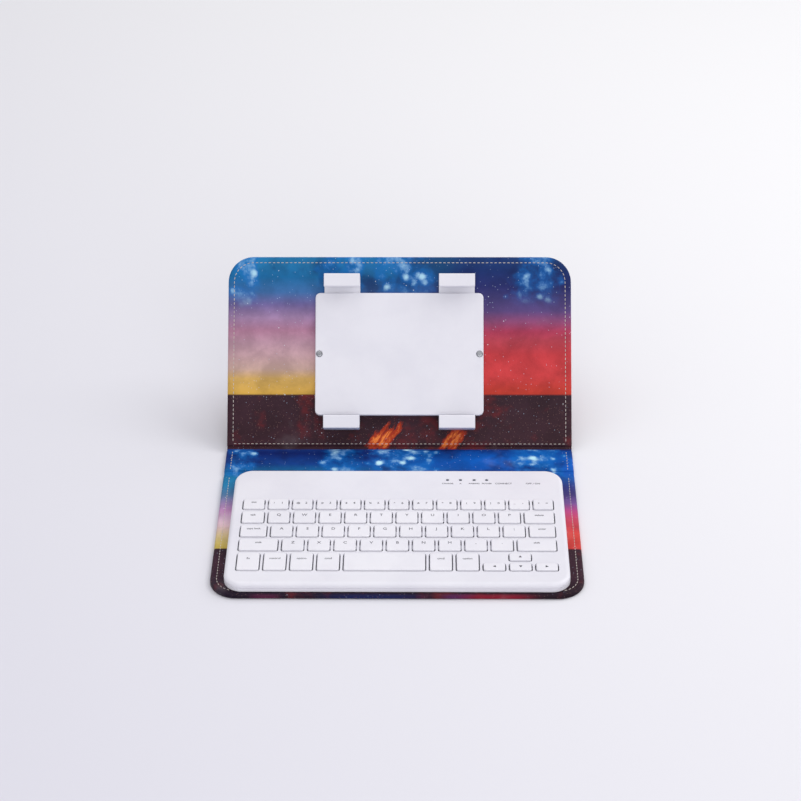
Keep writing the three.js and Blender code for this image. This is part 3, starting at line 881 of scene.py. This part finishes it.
# The strip runs down the panel's back, then turns out to the flap
HINGE_TOP = 10.0
HINGE_BEND = 2.6
HINGE_LAP = 0.3
HINGE_FACE = 0.3  # how far each face lies from the strip's middle
HINGE_INSET = 0.3
HINGE_ROW = 7.4
turn = bend_path(HINGE_BEND, STAND_CREASE + HINGE_LAP, STAND_OPEN, 14)
bm = bmesh.new()
path = [(-HINGE_TOP, 0), (-8.0, 0), (-6.0, 0), (-4.2, 0), *turn]
strip(
    bm,
    [(-y, -z) for y, z in path],
    STAND_HALF - HINGE_INSET,
    -HINGE_FACE,
    lambda t: HINGE_FACE,
    60,
    0.02,
    (HINGE_TOP, -STAND_CREASE),
)
piece = finish_piece(
    "stand_hinge_leather", bm, HINGE, LEATHER, None, ["stand_hinge"], 60
)
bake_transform(piece)
hinge_row = line_at([(-inner, HINGE_ROW), (inner, HINGE_ROW)], 0.02 - HINGE_FACE)
stitches("stand_hinge_stitches", "rear_panel", HINGE, [hinge_row], -1.0, STAND_PITCH)


# ----------------------------------------------------------------- keyboard

KEYS = Matrix.Translation((0, KEYBOARD_REAR, WRAP))

# Heights over the keyboard's underside
CAP = 6.8
CAP_BOTTOM = 4.0
WEB = (4.175, 4.6)
FRAME_TOP = 6.0
FRAME_BOTTOM = 4.8
SEAM = 2.6

# Letters: sizes, and how far a legend stands from a cap's rear edge, as a share of its depth
LETTER_SIZE = 3.2
SHORT_WORD_SIZE = 2.5
WORD_SIZE = 2.2
DIGIT_SIZE = 2.7
SIGN_SIZE = 2.3
DIGIT_RIGHT = 2.2
SIGN_LEFT = 2.6
LEGEND_AT = 0.34
DIGIT_AT = 0.42
ARROW_SIZE = 2.0
INK = 0.02  # how far prints stand above and sink below their surface
LABEL_AT = -14.3
LENS_Y = -10.4
LENS_HOLE = 1.1

SHIFTED = "!@#$%^&*()_+"
ROWS = [  # depth, and each cap's node, relative width and legend
    (
        9.9,
        [("keys_number", 13.3, "esc"), *[("keys_number", 12.5, t) for t in "1234567890-="]],
    ),
    (
        11.3,
        [("key_tab", 13.6, "tab"), *[("keys_top", 13.2, t) for t in "QWERTYUIOP"]]
        + [("key_backspace", 18.4, "delete")],
    ),
    (
        11.1,
        [("key_caps", 16.1, "caps lock"), *[("keys_home", 13.2, t) for t in "ASDFGHJKL;"]]
        + [("key_enter", 15.9, "enter")],
    ),
    (
        11.0,
        [("key_shift_left", 23.7, "shift"), *[("keys_bottom", 13.2, t) for t in "ZXCVBNM,."]]
        + [("key_shift_right", 23.7, "shift")],
    ),
    (
        16.3,
        [
            ("key_fn", 13.5, "fn"),
            ("key_control", 13.5, "control"),
            ("key_option_left", 13.5, "option"),
            ("key_command_left", 13.5, "cmd"),
            ("key_space", 50.0, ""),
            ("key_command_right", 13.5, "cmd"),
            ("key_option_right", 13.5, "option"),
            ("key_left", 13.2, "<"),
            ("key_up", 13.2, "^"),
            ("key_right", 13.2, ">"),
        ],
    ),
]


def key_places():
    """Each cap as (node, legend, x0, x1, y0, y1), laid out as in the CAD part."""
    caps = []
    rear = -FIELD_FROM_REAR
    for height, row in ROWS:
        scale = (FIELD_WIDTH - KEY_GAP * (len(row) - 1)) / sum(key[1] for key in row)
        front = rear - height
        half = (height - KEY_GAP) / 2
        x = -FIELD_WIDTH / 2
        for node, width, legend in row:
            end = x + width * scale
            if legend == "^":
                caps.append((node, "^", x, end, rear - half, rear))
                caps.append(("key_down", "v", x, end, front, front + half))
            elif legend in ("<", ">"):
                caps.append((node, legend, x, end, front, front + half))
            else:
                caps.append((node, legend, x, end, front, rear))
            x = end + KEY_GAP
        rear = front - ROW_GAP
    return caps


def text_into(bm, text, x, y, z, size):
    """Thin raised letters centred on (x, y), sunk a little into the surface at z.

    Their outlines are thickened a little, but an M's would cross itself.
    """
    curve = bpy.data.curves.new("letters", "FONT")
    curve.body = text
    curve.size = size
    curve.align_x = "CENTER"
    curve.align_y = "CENTER"
    curve.resolution_u = 3
    curve.extrude = INK
    curve.offset = 0.0 if text == "M" else 0.035
    letters = bpy.data.objects.new("letters", curve)
    bpy.context.scene.collection.objects.link(letters)
    bpy.context.view_layer.update()
    mesh = bpy.data.meshes.new_from_object(
        letters.evaluated_get(bpy.context.evaluated_depsgraph_get())
    )
    mesh.transform(Matrix.Translation((x, y, z)))
    bm.from_mesh(mesh)
    bpy.data.objects.remove(letters)
    bpy.data.curves.remove(curve)
    bpy.data.meshes.remove(mesh)


def arrow_into(bm, x, y, z, turn):
    """Thin raised arrow head, turned from pointing to the rear."""
    place = Matrix.Translation((x, y, z)) @ Matrix.Rotation(turn, 4, "Z")
    shape = [(-0.5, -0.42), (0.5, -0.42), (0, 0.5)]
    outline = [(a * ARROW_SIZE, b * ARROW_SIZE) for a, b in shape]
    loft(bm, [[place @ Vector(v) for v in line_at(outline, h)] for h in (-INK, INK)])


CAP_RADIUS = 1.2
WEB_INSET = 1.2
WEB_HALF = 2.0
CAP_EDGE = [  # inset and height
    (0.0, CAP_BOTTOM),
    (0.0, CAP - 0.5),
    (0.03, CAP - 0.3),
    (0.13, CAP - 0.13),
    (0.3, CAP - 0.03),
    (0.5, CAP),
]
HOLE_EDGE = [  # outset from the cap and height
    (KEY_SLOT, FRAME_BOTTOM - 0.5),
    (KEY_SLOT, FRAME_TOP - 0.14),
    (KEY_SLOT + 0.03, FRAME_TOP - 0.06),
    (KEY_SLOT + 0.1, FRAME_TOP - 0.01),
    (KEY_SLOT + 0.13, FRAME_TOP + 0.05),
]
ARROWS = {"^": 0.0, "v": math.pi, "<": math.pi / 2, ">": -math.pi / 2}


def legend_into(bm, node, index, legend, x, rear, deep):
    """A cap's legend, from the cap's middle x, its rear edge and its depth."""
    if legend in ARROWS:
        arrow_into(bm, x, rear - deep / 2, CAP, ARROWS[legend])
    elif node == "keys_number" and index:
        y = rear - deep * DIGIT_AT
        text_into(bm, legend, x + DIGIT_RIGHT, y, CAP, DIGIT_SIZE)
        text_into(bm, SHIFTED[index - 1], x - SIGN_LEFT, y, CAP, SIGN_SIZE)
    elif legend:
        sizes = {1: LETTER_SIZE, 2: SHORT_WORD_SIZE, 3: SHORT_WORD_SIZE}
        size = sizes.get(len(legend), WORD_SIZE)
        text_into(bm, legend, x, rear - deep * LEGEND_AT, CAP, size)


caps_of = {}
for cap in key_places():
    caps_of.setdefault(cap[0], []).append(cap[1:])
holes = bmesh.new()
for node, caps in caps_of.items():
    bm = bmesh.new()
    ink = bmesh.new()
    for index, (legend, x0, x1, y0, y1) in enumerate(caps):
        rings = [
            line_at(rounded(x0 + d, x1 - d, y0 + d, y1 - d, CAP_RADIUS - d * 0.8, 6), z)
            for d, z in CAP_EDGE
        ]
        loft(bm, rings)
        rings = [
            line_at(rounded(x0 - d, x1 + d, y0 - d, y1 + d, CAP_RADIUS + d, 6), z)
            for d, z in HOLE_EDGE
        ]
        loft(holes, rings)
        legend_into(ink, node, index, legend, (x0 + x1) / 2, y1, y1 - y0)
    if len(caps) > 1:
        _, left, _, front, rear = caps[0]
        right = caps[-1][2]
        middle = (front + rear) / 2
        ends = (left + WEB_INSET, right - WEB_INSET)
        web = rounded(*ends, middle - WEB_HALF, middle + WEB_HALF, 0.4, 3)
        loft(bm, [line_at(web, z) for z in WEB])
    piece = finish_piece(f"{node}_caps", bm, KEYS, WHITE_KEY, node, [node], 50)
    piece.modifiers.new("even", "WEIGHTED_NORMAL").keep_sharp = True
    if len(ink.verts):
        finish_piece(f"{node}_legend", ink, KEYS, LEGEND, node)
    else:
        ink.free()

# Prints on the frame: the lights', the button's and the switch's names
ink = bmesh.new()
for x, word in zip(LENS_AT, ("CHARGE", "A", "PAIRING", "POWER")):
    text_into(ink, word, x, LABEL_AT, FRAME_TOP, 1.75)
for x, word in ((64.4, "CONNECT"), (82.4, "OFF / ON")):
    text_into(ink, word, x, LABEL_AT, FRAME_TOP, 2.1)
finish_piece("frame_labels", ink, KEYS, LEGEND, "front_cover")


def bm_object(bm, name):
    """A scratch object that takes bm's mesh."""
    bmesh.ops.recalc_face_normals(bm, faces=bm.faces)
    mesh = bpy.data.meshes.new(name)
    bm.to_mesh(mesh)
    bm.free()
    made = bpy.data.objects.new(name, mesh)
    bpy.context.scene.collection.objects.link(made)
    return made


def cut(bm, cutters):
    """bm with each cutter bmesh taken out of it."""
    made = bm_object(bm, "cut")
    tools = [bm_object(cutter, "cutter") for cutter in cutters]
    for tool in tools:
        modifier = made.modifiers.new("cut", "BOOLEAN")
        modifier.object = tool
        modifier.operation = "DIFFERENCE"
        modifier.solver = "MANIFOLD"
    bpy.context.view_layer.update()
    mesh = bpy.data.meshes.new_from_object(
        made.evaluated_get(bpy.context.evaluated_depsgraph_get())
    )
    result = bmesh.new()
    result.from_mesh(mesh)
    for used in [made, *tools]:
        bpy.data.objects.remove(used)
    return result


def box_into(bm, x0, x1, y0, y1, z0, z1, radius=0.3):
    loft(bm, [line_at(rounded(x0, x1, y0, y1, radius, 3), z) for z in (z0, z1)])


def shell_shape(inset, z, rear=1.0):
    """The keyboard's outline at an inset, which its rear side keeps the share rear of."""
    half = KEYBOARD_HALF - inset
    outline = rounded(
        -half, half, inset - KEYBOARD_DEPTH, -inset * rear, KEYBOARD_RADIUS - inset, 16
    )
    return line_at(outline, z)


WINDOWS = [  # x and z from and to: charging port, connect button, power switch
    (39.9, 48.1, 1.5, 4.6),
    (62.7, 67.3, 2.25, 4.45),
    (80.2, 86.3, 2.25, 4.45),
]
WALL = 1.4
TRAY_FLOOR = 1.0
FRAME_REAR = 0.35


def windows():
    bm = bmesh.new()
    for x0, x1, z0, z1 in WINDOWS:
        box_into(bm, x0, x1, -WALL - 0.3, 2, z0, z1)
    return bm


def cavity(z0, z1):
    bm = bmesh.new()
    loft(bm, [shell_shape(WALL, z0), shell_shape(WALL, z1)])
    return bm


def shell(name, node, rings, cutters):
    """One half of the keyboard's case, lofted and then cut."""
    bm = bmesh.new()
    loft(bm, rings)
    piece = finish_piece(
        name, cut(bm, cutters), KEYS, WHITE, "front_cover", [node], 50,
        tidy=False,
    )
    piece.modifiers.new("even", "WEIGHTED_NORMAL").keep_sharp = True


for x in LENS_AT:
    ring = circle(x, LENS_Y, LENS_HOLE, 24)
    loft(holes, [line_at(ring, FRAME_BOTTOM - 0.5), line_at(ring, FRAME_TOP + 0.5)])
FRAME_EDGE = [
    (0.14, SEAM + 0.03),
    (0.0, SEAM + 0.14),
    (0.0, 3.9),
    (0.05, 4.3),
    (0.2, 4.72),
    (0.44, 5.1),
    (0.76, 5.42),
    (1.16, 5.68),
    (1.64, 5.86),
    (2.15, 5.97),
    (2.7, FRAME_TOP),
]
TRAY_EDGE = [
    (0.5, 0.0),
    (0.18, 0.08),
    (0.03, 0.28),
    (0.0, 0.5),
    (0.0, SEAM - 0.14),
    (0.14, SEAM - 0.03),
]
shell(
    "keyboard_frame_shell",
    "keyboard_frame",
    [shell_shape(inset, z, FRAME_REAR) for inset, z in FRAME_EDGE],
    [cavity(0, FRAME_BOTTOM), holes, windows()],
)
shell(
    "keyboard_tray_shell",
    "keyboard_tray",
    [shell_shape(inset, z) for inset, z in TRAY_EDGE],
    [cavity(TRAY_FLOOR, 9), windows()],
)


# -------------------------------------------------------------------- clamp

CLAMP = PANEL @ Matrix.Translation((0, 0, WRAP - FOLD + 0.3))


def soften(node, width):
    """Rounded edges and even shading on a CAD node, its mesh left as it is."""
    piece = frame["nodes"][node]
    weld = piece.modifiers.new("weld", "WELD")
    weld.merge_threshold = 0.00001
    flat = piece.modifiers.new("flat", "DECIMATE")
    flat.decimate_type = "DISSOLVE"
    flat.angle_limit = math.radians(1)
    bevel = piece.modifiers.new("round", "BEVEL")
    bevel.width = width * 0.001
    bevel.segments = 3
    bevel.limit_method = "ANGLE"
    bevel.angle_limit = math.radians(28)
    bevel.harden_normals = False
    even = piece.modifiers.new("even", "WEIGHTED_NORMAL")
    even.keep_sharp = False


SOFT_EDGES = {  # CAD nodes that keep their shape, and the radius of their edges
    "clamp_lower_jaw": 0.55,
    "clamp_upper_jaw": 0.55,
    "clamp_base": 0.25,
    "clamp_cover": 0.22,
    "lower_pad_left": 0.2,
    "lower_pad_right": 0.2,
    "upper_pad_left": 0.2,
    "upper_pad_right": 0.2,
    "connect_button": 0.2,
    "power_switch": 0.2,
    "charge_port": 0.08,
    "light_pipe": 0.05,
}
for node, width in SOFT_EDGES.items():
    soften(node, width)

# Screws with a crossed recess
SCREW_X = 50.65
SCREW_Y = 61.15
SCREW_EDGE = [  # radius and height
    (1.0, 1.5),
    (1.0, 4.5),
    (1.85, 4.5),
    (1.9, 4.6),
    (1.9, 4.95),
    (1.7, 5.12),
    (1.2, 5.2),
]
RECESS = (1.1, 0.22, 4.75)  # half length, half width and floor
for side, x in (("left", -SCREW_X), ("right", SCREW_X)):
    bm = bmesh.new()
    loft(bm, [line_at(circle(x, SCREW_Y, radius, 32), z) for radius, z in SCREW_EDGE])
    long, wide, low = RECESS
    slots = []
    for dx, dy in ((long, wide), (wide, long)):
        slot = bmesh.new()
        box_into(slot, x - dx, x + dx, SCREW_Y - dy, SCREW_Y + dy, low, 6, 0.1)
        slots.append(slot)
    finish_piece(
        f"clamp_screw_{side}_head", cut(bm, slots), CLAMP, STEEL, "rear_panel",
        [f"clamp_screw_{side}"], 35, tidy=False,
    )

SPRING_X = 12.0
SPRING_FROM = 32.8
SPRING_TO = 51.5
SPRING_Z = 2.55
SPRING_TURNS = 8
SPRING_RADIUS = 0.85
SPRING_WIRE = 0.2
TURN_STEPS = 20


def coil(name, node, x):
    """Drawn spring wire, wound in the clamp's channel from the lower jaw to the upper."""
    bm = bmesh.new()
    steps = SPRING_TURNS * TURN_STEPS
    section = circle(0, 0, SPRING_WIRE, 8)
    rings = []
    for i in range(steps + 1):
        angle = 2 * math.pi * i / TURN_STEPS
        out = Vector((math.cos(angle), 0, math.sin(angle)))
        along = SPRING_FROM + (SPRING_TO - SPRING_FROM) * i / steps
        middle = Vector((x, along, SPRING_Z)) + out * SPRING_RADIUS
        rings.append([middle + out * a + Vector((0, b, 0)) for a, b in section])
    rings = loft(bm, rings)
    layer = bm.loops.layers.uv.new("Sheet")
    flat = {
        v: (k / 8, i / TURN_STEPS) for i, ring in enumerate(rings) for k, v in enumerate(ring)
    }
    for face in bm.faces:
        for corner in face.loops:
            corner[layer].uv = flat[corner.vert]
    piece = finish_piece(name, bm, CLAMP, WIRE, None, [node], 80)
    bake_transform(piece)


coil("clamp_spring_left_coil", "clamp_spring_left", -SPRING_X)
coil("clamp_spring_right_coil", "clamp_spring_right", SPRING_X)


# ------------------------------------------------------- floor, light, camera

FLOOR_HALF = 6000.0
FLOOR_DROP = 0.05
bm = bmesh.new()
bmesh.ops.create_grid(bm, x_segments=8, y_segments=8, size=FLOOR_HALF)
mesh = bpy.data.meshes.new("floor")
bm.to_mesh(mesh)
bm.free()
mesh.transform(MM @ Matrix.Translation((0, 0, -FLOOR_DROP)))
floor = bpy.data.objects.new("floor", mesh)
bpy.context.scene.collection.objects.link(floor)
n = Shader("floor")
place = n.node("TexCoord", output=3)
across = n.node("SeparateXYZ", {0: place}, 0)
deep = n.node("SeparateXYZ", {0: place}, 1)
# Painted shade: the floor's colour darkens towards the front and the left, standing in for the
# light falling off there, and lightens towards the right and the rear
painted_falloff = n.smooth(n.math("MULTIPLY_ADD", deep, 0.8, across), -0.9, 0.9)
paper_with_painted_falloff = n.mix(painted_falloff, rgb(217, 216, 227), rgb(243, 243, 244))
n.put(n.bsdf.inputs["Base Color"], paper_with_painted_falloff)
n.put(n.bsdf.inputs["Normal"], n.bump(n.noise(place, 900.0, 3.0), 0.02, 0.0002))
n.bsdf.inputs["Roughness"].default_value = 0.85
n.bsdf.inputs["Specular IOR Level"].default_value = 0.2
mesh.materials.append(n.material)


def area_light(name, place, aim, size, power, colour):
    data = bpy.data.lights.new(name, "AREA")
    data.shape = "RECTANGLE"
    data.size, data.size_y = size
    data.energy = power
    data.color = colour
    lamp = bpy.data.objects.new(name, data)
    bpy.context.scene.collection.objects.link(lamp)
    lamp.location = place
    way = Vector(aim) - Vector(place)
    lamp.rotation_euler = way.to_track_quat("-Z", "Y").to_euler()


area_light("key", (1.4, 0.6, 1.5), (0, 0.05, 0), (1.4, 1.4), 18, (1.0, 0.995, 0.985))
area_light("top", (-0.3, 0.3, 1.9), (0, 0.05, 0), (1.8, 1.8), 8.5, (0.99, 0.99, 1.0))
area_light("fill", (0.3, -1.8, 0.9), (0, 0.0, 0.03), (1.6, 1.0), 12, (0.995, 0.995, 1.0))
world = bpy.data.worlds.new("studio")
bpy.context.scene.world = world
world.use_nodes = True
backdrop = world.node_tree.nodes["Background"]
backdrop.inputs["Color"].default_value = rgb(237, 236, 240)
backdrop.inputs["Strength"].default_value = 0.62
bpy.context.scene.view_settings.view_transform = "Standard"

# Camera at the photo's viewing angle
CAMERA_AT = (0.0154, -1.1187, 0.8102)
DOWN = math.radians(32.533)
YAW = math.radians(0.686)
ROLL = math.radians(0.305)
turned = (
    Matrix.Rotation(YAW, 4, "Z")
    @ Matrix.Rotation(math.pi / 2 - DOWN, 4, "X")
    @ Matrix.Rotation(-ROLL, 4, "Z")
)
data = bpy.data.cameras.new("camera")
data.lens = 103.324
data.sensor_width = 36.0
camera = bpy.data.objects.new("camera", data)
bpy.context.scene.collection.objects.link(camera)
camera.matrix_world = Matrix.Translation(CAMERA_AT) @ turned
bpy.context.scene.camera = camera
